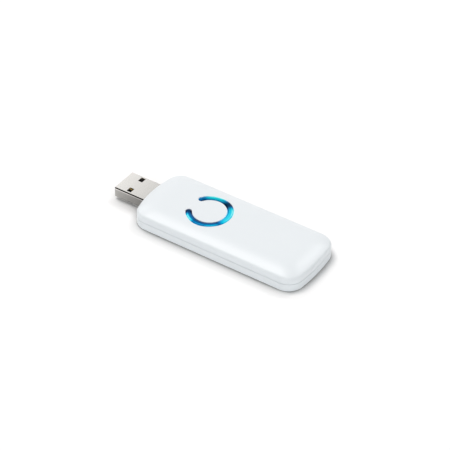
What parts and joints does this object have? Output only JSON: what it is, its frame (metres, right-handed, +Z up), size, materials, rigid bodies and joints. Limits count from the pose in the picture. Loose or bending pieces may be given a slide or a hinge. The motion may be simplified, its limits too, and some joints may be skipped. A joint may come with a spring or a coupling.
{
  "type": "smart home usb radio stick",
  "caption": "Slim white radio stick with a crowned housing, a C-shaped blue light ring round its push button, and a flat metal plug at one end.",
  "frame": {"origin": "on the table, under the middle of the whole stick", "axes": "+X from the plug to the far end, +Y across, +Z up"},
  "size_m": [0.0908, 0.031, 0.0085],
  "materials": {
    "white_plastic": "satin white moulding",
    "blue_light_guide": "polished translucent blue",
    "plated_steel": "nickel-plated sheet",
    "black_plastic": "moulded black",
    "gold_contact": "gold plated",
    "board_green": "glass-epoxy board with solder mask",
    "tinned_steel": "tinned sheet",
    "chip_black": "moulded epoxy",
    "lamp_white": "lamp lens",
    "switch_grey": "moulded nylon",
    "pouch_foil": "laminated foil pouch",
    "foam": "double-sided foam tape",
    "red_lead": "insulated wire",
    "black_lead": "insulated wire",
    "ferrite": "ferrite and copper winding",
    "antenna_wire": "gold-plated spring wire",
    "ceramic_part": "fired ceramic with tinned ends",
    "resistor_black": "thick-film resistor"
  },
  "bodies": {
    "housing": {"antenna_coil": "antenna_wire", "battery_cell": "pouch_foil", "battery_lead_black": "black_lead", "battery_lead_red": "red_lead", "battery_pad": "foam", "bottom_shell": "white_plastic", "capacitors": "ceramic_part", "charger_chip": "chip_black", "circuit_board": "board_green", "indicator_lamp_1": "lamp_white", "indicator_lamp_2": "lamp_white", "indicator_lamp_3": "lamp_white", "indicator_lamp_4": "lamp_white", "light_ring": "blue_light_guide", "power_coil": "ferrite", "radio_can": "tinned_steel", "radio_chip": "chip_black", "radio_crystal": "tinned_steel", "regulator_chip": "chip_black", "resistors": "resistor_black", "switch_base": "switch_grey", "switch_cover": "tinned_steel", "switch_dome": "tinned_steel", "top_shell": "white_plastic", "usb_bridge_chip": "chip_black", "usb_contact_1": "gold_contact", "usb_contact_2": "gold_contact", "usb_contact_3": "gold_contact", "usb_contact_4": "gold_contact", "usb_insulator": "black_plastic", "usb_shell": "plated_steel"},
    "button": {"button_tongue": "white_plastic", "switch_plunger": "switch_grey"}
  },
  "joints": [
    {"name": "button_press", "type": "hinge", "parent": "housing", "child": "button", "pos_m": [-0.01155, 0, 0.0083], "axis": [0, 1, 0], "range_deg": [0, 1.9], "stiffness_Nm_per_rad": 0.6}
  ]
}
